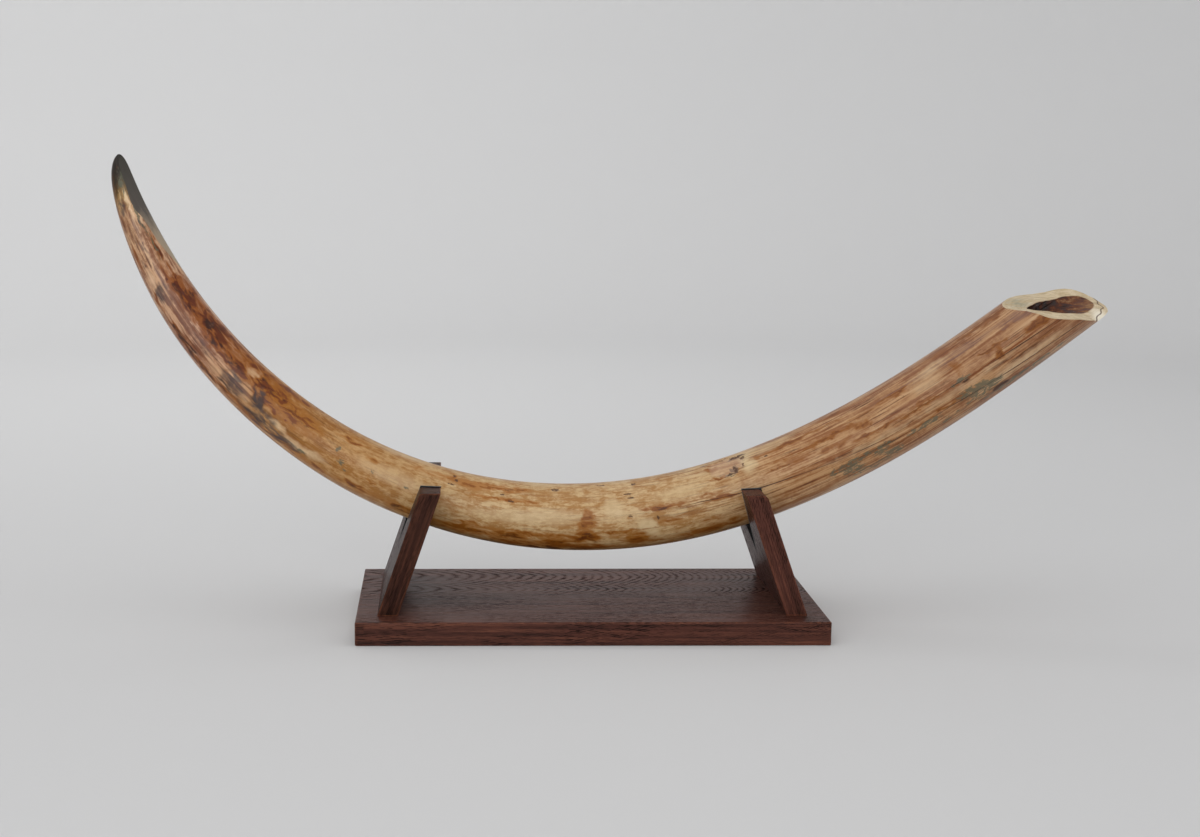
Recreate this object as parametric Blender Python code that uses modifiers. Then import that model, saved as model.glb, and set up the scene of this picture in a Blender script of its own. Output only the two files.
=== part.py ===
"""Mammoth tusk resting in a dark-stained hardwood stand. Units are metres, +Z is up.

The origin is the middle of the base board's underside. X runs along the board towards the
sawn butt of the tusk, and Y runs across it, away from the side on which the tusk is best seen.

The stand is one flat board with two slabs, the cradles, that lean in over it. Each cradle has
a V-shaped notch from the top, lined with a thin black strip, and the tusk lies in both notches.
"""
import math

import bmesh
import bpy
from mathutils import Matrix, Vector

MM = 0.001
GAP = 0.3 * MM

# Base board
BOARD_LENGTH = 500 * MM
BOARD_DEPTH = 230 * MM
BOARD_THICKNESS = 25.4 * MM
BOARD_EDGE_RADIUS = 1.5 * MM

# Cradles
CRADLE_WIDTH = 180 * MM
CRADLE_THICKNESS = 21 * MM
CRADLE_FOOT_X = 228.5 * MM          # outer edge of the foot, from the middle of the board
CRADLE_SHIFT = 1 * MM               # both cradles sit this much towards the butt end
CRADLE_EDGE_RADIUS = 1.2 * MM
NOTCH_HALF_ANGLE = math.radians(33)
LINING_THICKNESS = 2.5 * MM
LINING_PROUD = 1 * MM               # the lining stands this much above the prongs

# The two cradles differ a little. Each has its end of the board, its lean, its upright height
# from the board to the flat tops of its prongs, how high its notch starts, measured along the
# slab from the foot at mid thickness, and the radius of the corner along its outer top edge.
CRADLES = {
    "left": {
        "side": -1, "lean": math.radians(19), "height": 132.5 * MM,
        "notch_root": 54.3 * MM, "corner_radius": 3 * MM,
    },
    "right": {
        "side": 1, "lean": math.radians(19.5), "height": 130 * MM,
        "notch_root": 50.6 * MM, "corner_radius": 5 * MM,
    },
}

# The tusk's axis: x, y and z of a smooth curve's control points, and the tusk's radius there.
# The first two share a place, which gives the tip its round end. Between the cradles the axis
# stays in the middle of the stand, and both ends sweep gently backwards.
TUSK_AXIS = (
    (-504.5, 34, 509, 0),
    (-504.5, 34, 509, 5.5),
    (-517, 31, 499.5, 12.3),
    (-463, 21, 363, 24),
    (-375, 9, 255.5, 28),
    (-264, 0, 172.5, 31),
    (-136, 0, 122, 34.5),
    (0, 0, 107.5, 37.5),
    (134, 0, 127.5, 39),
    (262, 0, 179, 39.5),
    (384, 3, 249, 39.5),
    (500, 9, 334.5, 39),
    (616, 14, 425.5, 39),
)
TUSK_SIDES = 32
TUSK_RINGS_PER_SPAN = 5

# The butt is sawn at a slant: the saw left it through this point, nearly level but falling
# towards the end and towards the front. The cut is twisted a little from one end to the other,
# and crowned along its length.
BUTT_CENTRE = Vector((512.5, 8.9, 346.8)) * MM
BUTT_FALL_TO_END = math.radians(5.4)
BUTT_FALL_TO_FRONT = math.radians(18.0)
BUTT_TWIST_PER_METRE = 2.2
BUTT_CROWN_PER_METRE = 1.3
BUTT_CUTTER = (300 * MM, 160 * MM, 180 * MM)

# The pulp cavity is a short cone from the butt into the tusk. It leans to the front, and its
# mouth is not quite in the middle, so the wall is thickest at the inner end of the cut.
CAVITY_CENTRE = Vector((508.5, 2.5, 350.8)) * MM
CAVITY_DIRECTION = Vector((0.86, 0.255, 0.443))
CAVITY_RADIUS_AT_CUT = 20 * MM
CAVITY_DEPTH = 80 * MM
CAVITY_MOUTH_EXTRA = 75 * MM
CAVITY_SIDES = 24

# Wear has left one long flat on the inside of the bend, from the tip to this far past its centre.
FACET_CENTRE = Vector((-474.7, 20.8, 440.2)) * MM
FACET_NORMAL = Vector((0.748, -0.466, 0.473))
FACET_REACH = 31 * MM
FACET_CUTTER = (150 * MM, 70 * MM, 40 * MM)

# An old flake has come off the top of the tusk above the right cradle, leaving a shallow dish.
FLAKE_CENTRE = Vector((147.0, -18.0, 173.5)) * MM
FLAKE_OUTWARD = Vector((-0.10, -0.52, 0.85))
FLAKE_HALF_LENGTH = 22 * MM
FLAKE_HALF_WIDTH = 13 * MM
FLAKE_DEPTH = 1.6 * MM

PARTS = "mammoth_tusk_on_stand"
CUTTERS = "cutters"


def start_clean():
    """Remove what is in the file and make the two collections."""
    for old in list(bpy.data.objects):
        bpy.data.objects.remove(old, do_unlink=True)
    for name in (PARTS, CUTTERS):
        bpy.context.scene.collection.children.link(bpy.data.collections.new(name))


def add_object(name, data, collection=PARTS):
    """Put a mesh or a curve in a collection as a new object."""
    item = bpy.data.objects.new(name, data)
    bpy.data.collections[collection].objects.link(item)
    return item


def make_material(name, colour, roughness):
    """A plain Principled material. The colour is linear."""
    material = bpy.data.materials.new(name)
    material.use_nodes = True
    shader = material.node_tree.nodes["Principled BSDF"]
    shader.inputs["Base Color"].default_value = (*colour, 1.0)
    shader.inputs["Roughness"].default_value = roughness
    shader.inputs["Metallic"].default_value = 0.0
    return material


def mesh_from(item, name):
    """The evaluated shape of an object as a welded mesh in world space. The object goes."""
    bpy.context.view_layer.update()
    evaluated = item.evaluated_get(bpy.context.evaluated_depsgraph_get())
    mesh = bpy.data.meshes.new_from_object(evaluated)
    mesh.name = name
    mesh.transform(item.matrix_world)
    bpy.data.objects.remove(item, do_unlink=True)
    shape = bmesh.new()
    shape.from_mesh(mesh)
    bmesh.ops.remove_doubles(shape, verts=shape.verts, dist=0.00005)
    bmesh.ops.recalc_face_normals(shape, faces=shape.faces)
    shape.to_mesh(mesh)
    shape.free()
    return mesh


def box_mesh(name, size, matrix):
    """A box of a given size, centred on the matrix's origin."""
    shape = bmesh.new()
    bmesh.ops.create_cube(shape, size=1.0, matrix=matrix @ Matrix.Diagonal((*size, 1.0)))
    mesh = bpy.data.meshes.new(name)
    shape.to_mesh(mesh)
    shape.free()
    return mesh


def make_cutter(name, mesh):
    """A wire object that only cuts."""
    cutter = add_object(name, mesh, CUTTERS)
    cutter.hide_render = True
    cutter.display_type = "WIRE"
    return cutter


def add_boolean(item, operation, cutter):
    """Cut an object with a cutter, or keep only what is inside it."""
    boolean = item.modifiers.new(cutter.name, "BOOLEAN")
    boolean.operation = operation
    boolean.solver = "EXACT"
    boolean.object = cutter


def frame_along(direction, centre, across=Vector((0.0, 1.0, 0.0))):
    """A frame at a point whose Z axis runs along a direction and whose X axis is across it."""
    axis_z = direction.normalized()
    axis_x = across.cross(axis_z).normalized()
    axis_y = axis_z.cross(axis_x)
    frame = Matrix((axis_x, axis_y, axis_z)).transposed().to_4x4()
    frame.translation = centre
    return frame


def make_board(wood):
    """The base board, with slightly rounded edges."""
    centre = Matrix.Translation((0.0, 0.0, BOARD_THICKNESS / 2))
    size = (BOARD_LENGTH, BOARD_DEPTH, BOARD_THICKNESS)
    board = add_object("base_board", box_mesh("base_board", size, centre))
    board.data.materials.append(wood)
    rounding = board.modifiers.new("edges", "BEVEL")
    rounding.width = BOARD_EDGE_RADIUS
    rounding.segments = 3


def cradle_frame(cradle):
    """The frame of a cradle: X along its width, Y up the slab, Z out of its outer face.

    The origin is at the foot, in the middle of the slab's thickness, on top of the board.
    """
    side, lean = cradle["side"], cradle["lean"]
    half_foot = CRADLE_THICKNESS / math.cos(lean) / 2
    foot = Vector((side * (CRADLE_FOOT_X - half_foot) + CRADLE_SHIFT, 0.0, BOARD_THICKNESS))
    up = Vector((-side * math.sin(lean), 0.0, math.cos(lean)))
    outward = Vector((side * math.cos(lean), 0.0, math.sin(lean)))
    frame = Matrix((up.cross(outward), up, outward)).transposed().to_4x4()
    frame.translation = foot
    return frame


def slab_mesh(name, outline, cradle):
    """A flat outline, in the plane of a cradle, as thick as the cradle."""
    curve = bpy.data.curves.new(name, "CURVE")
    curve.dimensions = "2D"
    curve.fill_mode = "BOTH"
    curve.extrude = CRADLE_THICKNESS / 2
    line = curve.splines.new("POLY")
    line.points.add(len(outline) - 1)
    for point, (across, up) in zip(line.points, outline):
        point.co = (across, up, 0.0, 1.0)
    line.use_cyclic_u = True
    slab = add_object(name, curve)
    slab.matrix_world = cradle_frame(cradle)
    return mesh_from(slab, name)


def slab_reach(cradle):
    """How far up the slab an outline goes, past the level cut that makes the prongs' tops."""
    return (cradle["height"] + CRADLE_THICKNESS) / math.cos(cradle["lean"])


def keep_between(item, low, high):
    """Keep only what an object has between two heights."""
    size = (2 * BOARD_LENGTH, 2 * BOARD_DEPTH, high - low)
    matrix = Matrix.Translation((0.0, 0.0, (low + high) / 2))
    cutter = make_cutter(item.name + "_heights", box_mesh(item.name + "_heights", size, matrix))
    add_boolean(item, "INTERSECT", cutter)


def round_edges(mesh, cradle):
    """Round the outer top edge of both prongs, then the rest but for the foot and the root."""
    side = cradle["side"]
    shape = bmesh.new()
    shape.from_mesh(mesh)
    bmesh.ops.dissolve_limit(shape, angle_limit=0.01, verts=shape.verts, edges=shape.edges)
    top = BOARD_THICKNESS + cradle["height"]
    outermost = max(side * v.co.x for v in shape.verts if abs(v.co.z - top) < MM / 10)

    def is_outer_top(edge):
        level = all(abs(v.co.z - top) < MM / 10 for v in edge.verts)
        return level and all(side * v.co.x > outermost - MM / 10 for v in edge.verts)

    corner = [edge for edge in shape.edges if is_outer_top(edge)]
    bmesh.ops.bevel(shape, geom=corner, offset=cradle["corner_radius"], segments=5, profile=0.5,
                    affect="EDGES")
    foot = BOARD_THICKNESS + MM
    sharp = [
        edge for edge in shape.edges
        if edge.calc_face_angle_signed(0.0) > math.radians(35)
        and max(v.co.z for v in edge.verts) > foot
    ]
    bmesh.ops.bevel(shape, geom=sharp, offset=CRADLE_EDGE_RADIUS, segments=2, profile=0.5,
                    affect="EDGES")
    shape.to_mesh(mesh)
    shape.free()


def make_cradle(label, cradle, wood):
    """A leaning slab with level top and foot and a V-shaped notch between two prongs."""
    half_width = CRADLE_WIDTH / 2
    reach = slab_reach(cradle)
    opening = (reach - cradle["notch_root"]) * math.tan(NOTCH_HALF_ANGLE)
    outline = (
        (-half_width, -CRADLE_THICKNESS),
        (half_width, -CRADLE_THICKNESS),
        (half_width, reach),
        (opening, reach),
        (0.0, cradle["notch_root"]),
        (-opening, reach),
        (-half_width, reach),
    )
    name = "cradle_" + label
    slab = add_object(name + "_blank", slab_mesh(name, outline, cradle))
    keep_between(slab, BOARD_THICKNESS + GAP, BOARD_THICKNESS + cradle["height"])
    finished = add_object(name, mesh_from(slab, name))
    round_edges(finished.data, cradle)
    finished.data.materials.append(wood)


def make_lining(label, cradle, black):
    """The strip that lies in a notch, folded at its root and trimmed just above the prongs."""
    reach = slab_reach(cradle)
    per_height = math.tan(NOTCH_HALF_ANGLE)
    outer_root = cradle["notch_root"] + GAP / math.sin(NOTCH_HALF_ANGLE)
    inner_root = outer_root + LINING_THICKNESS / math.sin(NOTCH_HALF_ANGLE)
    outer = (reach - outer_root) * per_height
    inner = (reach - inner_root) * per_height
    outline = (
        (0.0, outer_root),
        (outer, reach),
        (inner, reach),
        (0.0, inner_root),
        (-inner, reach),
        (-outer, reach),
    )
    name = "lining_" + label
    lining = add_object(name, slab_mesh(name, outline, cradle))
    keep_between(lining, BOARD_THICKNESS, BOARD_THICKNESS + cradle["height"] + LINING_PROUD)
    lining.data.materials.append(black)


def tusk_blank():
    """The whole tusk, uncut: a smooth curve of changing radius, as a closed mesh."""
    curve = bpy.data.curves.new("tusk", "CURVE")
    curve.dimensions = "3D"
    curve.twist_mode = "MINIMUM"
    curve.resolution_u = TUSK_RINGS_PER_SPAN
    curve.bevel_depth = 1.0
    curve.bevel_resolution = TUSK_SIDES // 2 - 2
    curve.use_fill_caps = True
    axis = curve.splines.new("NURBS")
    axis.points.add(len(TUSK_AXIS) - 1)
    for point, (x, y, z, radius) in zip(axis.points, TUSK_AXIS):
        point.co = (x * MM, y * MM, z * MM, 1.0)
        point.radius = radius * MM
    axis.order_u = 4
    axis.use_endpoint_u = True
    return mesh_from(add_object("tusk_blank", curve), "tusk")


def butt_cutter():
    """A block whose underside is the sawn face, twisted and crowned a little."""
    length, width, height = BUTT_CUTTER
    shape = bmesh.new()
    bmesh.ops.create_cube(shape, size=1.0, matrix=Matrix.Diagonal((length, width, height, 1.0)))
    bmesh.ops.subdivide_edges(shape, edges=shape.edges, cuts=9, use_grid_fill=True)
    for vertex in shape.verts:
        if vertex.co.z < -height / 2 + MM:
            along, across = vertex.co.xy
            vertex.co.z += BUTT_TWIST_PER_METRE * along * across
            vertex.co.z -= BUTT_CROWN_PER_METRE * along * along
        vertex.co.z += height / 2
    normal = Vector((
        math.sin(BUTT_FALL_TO_END) * math.cos(BUTT_FALL_TO_FRONT),
        -math.sin(BUTT_FALL_TO_FRONT),
        math.cos(BUTT_FALL_TO_END) * math.cos(BUTT_FALL_TO_FRONT),
    ))
    mesh = bpy.data.meshes.new("butt_cutter")
    shape.transform(frame_along(normal, BUTT_CENTRE))
    shape.to_mesh(mesh)
    shape.free()
    return make_cutter("butt_cutter", mesh)


def cavity_cutter():
    """A cone whose point is deep in the tusk and whose wide end stands out of the butt."""
    depth = CAVITY_DEPTH + CAVITY_MOUTH_EXTRA
    mouth_radius = CAVITY_RADIUS_AT_CUT * depth / CAVITY_DEPTH
    middle = CAVITY_CENTRE + CAVITY_DIRECTION.normalized() * (CAVITY_MOUTH_EXTRA - depth / 2)
    shape = bmesh.new()
    bmesh.ops.create_cone(shape, cap_ends=True, segments=CAVITY_SIDES, radius1=0.0,
                          radius2=mouth_radius, depth=depth,
                          matrix=frame_along(CAVITY_DIRECTION, middle))
    bmesh.ops.remove_doubles(shape, verts=shape.verts, dist=0.00001)
    bmesh.ops.recalc_face_normals(shape, faces=shape.faces)
    mesh = bpy.data.meshes.new("cavity_cutter")
    shape.to_mesh(mesh)
    shape.free()
    return make_cutter("cavity_cutter", mesh)


def facet_cutter():
    """A block whose near face is the worn flat at the tip."""
    length, width, height = FACET_CUTTER
    matrix = frame_along(FACET_NORMAL, FACET_CENTRE) @ Matrix.Translation(
        (FACET_REACH - length / 2, 0.0, height / 2))
    return make_cutter("facet_cutter", box_mesh("facet_cutter", FACET_CUTTER, matrix))


def flake_cutter():
    """A flat lens that stands mostly above the surface and bites FLAKE_DEPTH into it."""
    size = (FLAKE_HALF_LENGTH, FLAKE_HALF_WIDTH, 2 * FLAKE_DEPTH)
    shape = bmesh.new()
    bmesh.ops.create_uvsphere(shape, u_segments=18, v_segments=8, radius=1.0)
    shape.transform(Matrix.Diagonal((*size, 1.0)))
    centre = FLAKE_CENTRE + FLAKE_OUTWARD.normalized() * FLAKE_DEPTH
    shape.transform(frame_along(FLAKE_OUTWARD, centre))
    mesh = bpy.data.meshes.new("flake_cutter")
    shape.to_mesh(mesh)
    shape.free()
    return make_cutter("flake_cutter", mesh)


def make_tusk(ivory):
    """The tusk: one solid, sawn, hollow at the butt, worn at the tip and flaked on top."""
    tusk = add_object("tusk", tusk_blank())
    for cutter in (butt_cutter(), cavity_cutter(), facet_cutter(), flake_cutter()):
        add_boolean(tusk, "DIFFERENCE", cutter)
    tusk.data.shade_smooth()
    tusk.data.set_sharp_from_angle(angle=math.radians(35))
    tusk.data.materials.append(ivory)


start_clean()
stained_wood = make_material("dark_stained_hardwood", (0.065, 0.032, 0.022), 0.40)
black_strip = make_material("black_felt", (0.006, 0.006, 0.006), 0.95)
fossil_ivory = make_material("mineral_stained_ivory", (0.46, 0.29, 0.13), 0.45)

make_board(stained_wood)
for label, cradle in CRADLES.items():
    make_cradle(label, cradle, stained_wood)
    make_lining(label, cradle, black_strip)
make_tusk(fossil_ivory)
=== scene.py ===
from math import cos, pi, radians, sin

import bpy
import numpy as np
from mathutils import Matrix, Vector, noise


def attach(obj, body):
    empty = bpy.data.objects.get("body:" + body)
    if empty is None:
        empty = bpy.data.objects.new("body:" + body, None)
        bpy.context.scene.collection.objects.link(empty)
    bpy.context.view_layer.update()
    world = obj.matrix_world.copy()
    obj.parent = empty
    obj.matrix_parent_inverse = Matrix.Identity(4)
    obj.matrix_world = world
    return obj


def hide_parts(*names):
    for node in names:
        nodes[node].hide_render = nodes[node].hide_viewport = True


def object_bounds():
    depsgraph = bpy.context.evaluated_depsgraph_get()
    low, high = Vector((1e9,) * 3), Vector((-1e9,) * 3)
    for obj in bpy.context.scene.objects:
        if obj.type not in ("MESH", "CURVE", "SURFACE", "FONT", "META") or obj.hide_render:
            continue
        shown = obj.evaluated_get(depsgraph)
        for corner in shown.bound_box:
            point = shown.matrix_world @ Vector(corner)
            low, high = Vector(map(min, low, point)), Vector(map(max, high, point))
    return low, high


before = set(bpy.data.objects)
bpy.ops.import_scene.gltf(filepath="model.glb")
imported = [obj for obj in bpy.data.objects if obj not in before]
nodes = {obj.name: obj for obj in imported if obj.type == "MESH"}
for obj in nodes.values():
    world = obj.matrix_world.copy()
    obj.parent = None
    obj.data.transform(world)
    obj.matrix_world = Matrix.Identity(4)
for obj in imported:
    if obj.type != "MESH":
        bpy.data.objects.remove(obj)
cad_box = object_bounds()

MM = 0.001


# ---- Camera ----
# A long lens a little above the tusk and almost square to the board, with its frame shifted
# sideways.
lens = bpy.data.cameras.new("camera")
lens.sensor_width = 36.0
lens.lens = 51.0
lens.shift_x = 0.12077
lens.clip_end = 50.0
camera = bpy.data.objects.new("camera", lens)
camera.location = (-0.15242, -1.83654, 0.52005)
camera.rotation_euler = (radians(80.82), 0.0, radians(-0.2527))
bpy.context.scene.collection.objects.link(camera)
bpy.context.scene.camera = camera


# ---- Base board ----
# One planed ash board, stained dark brown and given a thin satin lacquer. The open pores stay
# darker than the rest, and handling has rubbed the stain to a warmer brown along the edges.
def hex_colour(text):
    """A colour written as sRGB hex, turned to linear light."""
    parts = [int(text[i:i + 2], 16) / 255 for i in (0, 2, 4)]
    return tuple(p / 12.92 if p <= 0.04045 else ((p + 0.055) / 1.055) ** 2.4
                 for p in parts) + (1.0,)


def set_inputs(material, node, given):
    """Give a node's inputs, by name or number, a value, a socket, or another node, which stands
    for its first output."""
    for socket, value in given.items():
        if isinstance(value, bpy.types.Node):
            value = value.outputs[0]
        if isinstance(value, bpy.types.NodeSocket):
            material.node_tree.links.new(value, node.inputs[socket])
        else:
            node.inputs[socket].default_value = value


def add_node(material, kind, given=(), stops=(), **settings):
    """Add a node with its settings, the stops of its colour ramp, and its inputs, which are
    given in order, or by name or number."""
    node = material.node_tree.nodes.new("ShaderNode" + kind)
    for name, value in settings.items():
        setattr(node, name, value)
    for stop, (place, colour) in enumerate(stops):
        ramp = node.color_ramp.elements
        if stop == len(ramp):
            ramp.new(1.0)
        ramp[stop].position = place
        ramp[stop].color = hex_colour(colour) if isinstance(colour, str) else (colour,) * 3 + (1,)
    set_inputs(material, node, given if isinstance(given, dict) else dict(enumerate(given)))
    return node


def finish(material, **given):
    """Set the inputs of a material's own shader; an underscore stands for a space."""
    set_inputs(material, material.node_tree.nodes["Principled BSDF"],
               {name.replace("_", " "): value for name, value in given.items()})


def marks(material, vector, size, detail=4.0, roughness=0.6, distortion=0.0):
    """A texture of marks that have a size in mm along each axis of a vector in metres."""
    scaled = add_node(material, "Mapping", {
        "Vector": vector, "Scale": tuple(1.0 / (part * MM) for part in size)})
    return add_node(material, "TexNoise", {
        "Vector": scaled, "Scale": 1.0, "Detail": detail, "Roughness": roughness,
        "Distortion": distortion})


RING_SPACING = 1.8 * MM
RING_LEAN = 0.16                # how fast the rings climb out of the face along the grain
RING_CURVE = 0.386              # how much faster they climb a metre further on
RING_SWAY = 3.2 * MM            # how far they wander
EDGE_WEAR = 2.2 * MM            # how far in from an edge the stain is rubbed
OPEN_PORE, RUBBED_EDGE = "120a08", "8a553d"


def stained_ash(name, turn, shift, valleys, tones, gloss):
    """Dark-stained ash under a thin satin lacquer: a dim sheen, streaks along the grain, and
    rows of open pores where a ring meets the face. The grain runs along the pattern's X. In
    each valley, a place across the face and a width, the rings lie flat to the face and so
    make a row of pointed arches."""
    wood = bpy.data.materials.new(name)
    wood.use_nodes = True
    place = add_node(wood, "TexCoord").outputs["Object"]
    grain = add_node(wood, "Mapping", {"Vector": place, "Location": shift, "Rotation": turn})
    x, y, z = add_node(wood, "SeparateXYZ", (grain,)).outputs
    climb = add_node(wood, "Math", (x, RING_CURVE / 2, RING_LEAN), operation="MULTIPLY_ADD")
    depth = add_node(wood, "Math", (climb, x, z), operation="MULTIPLY_ADD")
    across = None
    for middle, width in valleys:
        away = add_node(wood, "Math", (y, middle), operation="SUBTRACT")
        away = add_node(wood, "Math", (away, away, width * width), operation="MULTIPLY_ADD")
        away = add_node(wood, "Math", (away,), operation="SQRT")
        away = add_node(wood, "Math", (away, width), operation="SUBTRACT")
        across = add_node(wood, "Math", (across, away), operation="MINIMUM") if across else away
    depth = add_node(wood, "Math", (depth, across), operation="ADD")
    sway = marks(wood, grain, (110, 26, 26), 3.0)
    depth = add_node(wood, "Math", (sway, RING_SWAY, depth), operation="MULTIPLY_ADD")
    ring = add_node(wood, "Math", (depth, RING_SPACING), operation="DIVIDE")
    ring = add_node(wood, "Math", (ring, 0.5), operation="PINGPONG")
    # The open pores are dashes about 0.2 mm wide, drawn 1.1 mm wide to show.
    dash = marks(wood, grain, (13, 1.1, 1.1), 2.0, 0.55)
    pores = add_node(wood, "Math", (dash, 1.9, ring), operation="MULTIPLY_ADD")
    pores = add_node(wood, "MapRange", (pores, 1.27, 1.42))
    strong = add_node(wood, "MapRange", (marks(wood, grain, (90, 35, 35), 2.0), 0.38, 0.60,
                                         0.30, 1.0))
    pores = add_node(wood, "Math", (pores, strong), operation="MULTIPLY")
    streak = marks(wood, grain, (160, 2.2, 2.2), 4.0)
    broad = marks(wood, grain, (240, 9, 9), 3.0)
    tone = add_node(wood, "Mix", {0: 0.5, 2: streak.outputs[0], 3: broad.outputs[0]})
    colour = add_node(wood, "ValToRGB", (tone,), stops=tuple(zip((0.38, 0.5, 0.62), tones)))
    colour = add_node(wood, "Mix", {
        0: add_node(wood, "Math", (pores, 0.9), operation="MULTIPLY").outputs[0],
        6: colour, 7: hex_colour(OPEN_PORE)}, data_type="RGBA").outputs[2]
    # Along the edges the stain is rubbed thin.
    rounded = add_node(wood, "Bevel", {"Radius": EDGE_WEAR}, samples=6)
    facing = add_node(wood, "VectorMath", (
        rounded, add_node(wood, "NewGeometry").outputs["Normal"]), operation="DOT_PRODUCT")
    edge = add_node(wood, "MapRange", (facing.outputs["Value"], 0.995, 0.93))
    rub = add_node(wood, "MapRange", (marks(wood, place, (8, 8, 8)), 0.42, 0.62, 0.15, 0.9))
    edge = add_node(wood, "Math", (edge, rub), operation="MULTIPLY")
    colour = add_node(wood, "Mix", {0: edge.outputs[0], 6: colour,
                                    7: hex_colour(RUBBED_EDGE)}, data_type="RGBA").outputs[2]
    finish(wood, Base_Color=colour, IOR=1.5, Specular_IOR_Level=gloss,
           Roughness=add_node(wood, "MapRange", (pores, 0.0, 1.0, 0.34, 0.85)),
           Normal=add_node(wood, "Bump", {
               "Height": add_node(wood, "Math", (pores, -1.0), operation="MULTIPLY"),
               "Strength": 0.6, "Distance": 0.25 * MM}))
    return wood


def clothe(name, material):
    """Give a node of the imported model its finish; its mesh stays as it is."""
    for slot in nodes[name].material_slots:
        slot.material = material


clothe("base_board", stained_ash(
    "dark_stained_ash_board", turn=(0.0, 0.0, 0.0), shift=(0.0, 0.0, 0.0),
    valleys=((0.078, 0.12), (0.022, 0.06)), tones=("40241d", "553127", "6c4132"), gloss=0.14))


# ---- Cradles ----
# Two ash slabs that lean in over the board, notched from the top and glued to it. Their grain
# runs up the slab, and their lacquer is duller than the board's.
for label, lean, shift, tones in (
        ("left", 19.0, (0.08, 0.01, 0.24), ("2f1a14", "3d241c", "553326")),
        ("right", -19.5, (0.03, -0.02, -0.2), ("3e261f", "523129", "683f33"))):
    clothe("cradle_" + label, stained_ash(
        "dark_stained_ash_" + label + "_cradle", turn=(0.0, radians(90.0 - lean), 0.0),
        shift=shift, valleys=((0.05, 0.05), (-0.16, 0.08)), tones=tones, gloss=0.06))


# ---- Linings ----
# Thin strips of black felt, folded and glued into the notches, so that the tusk does not touch
# the wood. Felt is matt, with a faint pale bloom where its fibres catch the light. They are
# too fine to show, and drawn as tufts of 0.6 mm.
felt = bpy.data.materials.new("black_felt_strip")
felt.use_nodes = True
tufts = marks(felt, add_node(felt, "TexCoord").outputs["Object"], (0.6, 0.6, 0.6), 4.0, 0.7)
finish(felt, Roughness=0.95, Sheen_Weight=0.25, Sheen_Roughness=0.5,
       Base_Color=add_node(felt, "ValToRGB", (tufts,), stops=((0.3, "0b0b0b"), (0.7, "1d1c1c"))),
       Normal=add_node(felt, "Bump", {"Height": tufts, "Strength": 0.6, "Distance": 0.3 * MM}))
for label in ("left", "right"):
    clothe("lining_" + label, felt)


# ---- Tusk: its shape ----
# One mammoth tusk, polished over its stained outer ivory, worn to a flat at the tip, chipped on
# top and sawn across at a slant at the butt, where the conical pulp cavity lies open.

# Places on it are given as its run, millimetres along its axis from the tip, and its angle,
# degrees round it from the inside of the bend towards the front. Its axis is a curve over
# these control points, as x, y, z and radius in mm.
AXIS = (
    (-504.5, 34, 509, 0), (-504.5, 34, 509, 5.5), (-517, 31, 499.5, 12.3),
    (-463, 21, 363, 24), (-375, 9, 255.5, 28), (-264, 0, 172.5, 31),
    (-136, 0, 122, 34.5), (0, 0, 107.5, 37.5), (134, 0, 127.5, 39), (262, 0, 179, 39.5),
    (384, 3, 249, 39.5), (500, 9, 334.5, 39), (616, 14, 425.5, 39),
)
KNOTS = np.array([0.0] * 4 + list(range(1, 10)) + [10.0] * 4)
SIDES = 136
TIP_RINGS, OUTER_RINGS, CUT_RINGS, CAVITY_RINGS = 18, 620, 12, 30


def axis_at(t):
    """The axis as a cubic B-spline: x, y, z and radius in mm for t from 0 to 10."""
    t = np.clip(t, 0.0, 10.0 - 1e-7)
    basis = [((KNOTS[i] <= t) & (t < KNOTS[i + 1])).astype(float) for i in range(16)]
    for degree in (1, 2, 3):
        grown = []
        for i in range(len(basis) - 1):
            rise, fall = KNOTS[i + degree] - KNOTS[i], KNOTS[i + degree + 1] - KNOTS[i + 1]
            up = (t - KNOTS[i]) / rise * basis[i] if rise else 0.0
            down = (KNOTS[i + degree + 1] - t) / fall * basis[i + 1] if fall else 0.0
            grown.append(up + down)
        basis = grown
    return sum(b[..., None] * np.array(point, float) for b, point in zip(basis, AXIS))


def unit(vectors):
    """Vectors in the same directions, with a length of 1."""
    return vectors / np.linalg.norm(vectors, axis=-1, keepdims=True)


def skin(t, angle, depth=0.0):
    """Points so many mm under the smooth skin, with the directions along and out of it."""
    here, step = axis_at(t), 1e-4
    tangent = unit(axis_at(t + step)[..., :3] - axis_at(t - step)[..., :3])
    inner = unit(np.cross(tangent, (0.0, 1.0, 0.0)))
    back = np.cross(inner, tangent)
    out = np.cos(angle)[..., None] * inner - np.sin(angle)[..., None] * back
    return here[..., :3] + (here[..., 3] - depth)[..., None] * out, tangent, out


fine_t = np.linspace(0.0, 10.0, 6001)
fine_axis = axis_at(fine_t)
fine_run = np.concatenate(([0.0], np.cumsum(
    np.linalg.norm(np.diff(fine_axis[:, :3], axis=0), axis=1))))

# The sawn face, as a slightly twisted and hollow surface over a plane that falls to the end
# and to the front.
BUTT_CENTRE = np.array((512.5, 8.9, 346.8))
FALL_TO_END, FALL_TO_FRONT = radians(5.4), radians(18.0)
TWIST, CROWN = 2.2 * MM, 1.3 * MM
butt_normal = np.array((sin(FALL_TO_END) * cos(FALL_TO_FRONT), -sin(FALL_TO_FRONT),
                        cos(FALL_TO_END) * cos(FALL_TO_FRONT)))
butt_x = unit(np.cross((0.0, 1.0, 0.0), butt_normal))
butt_y = np.cross(butt_normal, butt_x)


def above_cut(points):
    """How far points stand above the sawn face, in mm."""
    away = points - BUTT_CENTRE
    x, y = away @ butt_x, away @ butt_y
    return away @ butt_normal - (TWIST * x * y - CROWN * x * x)


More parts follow.
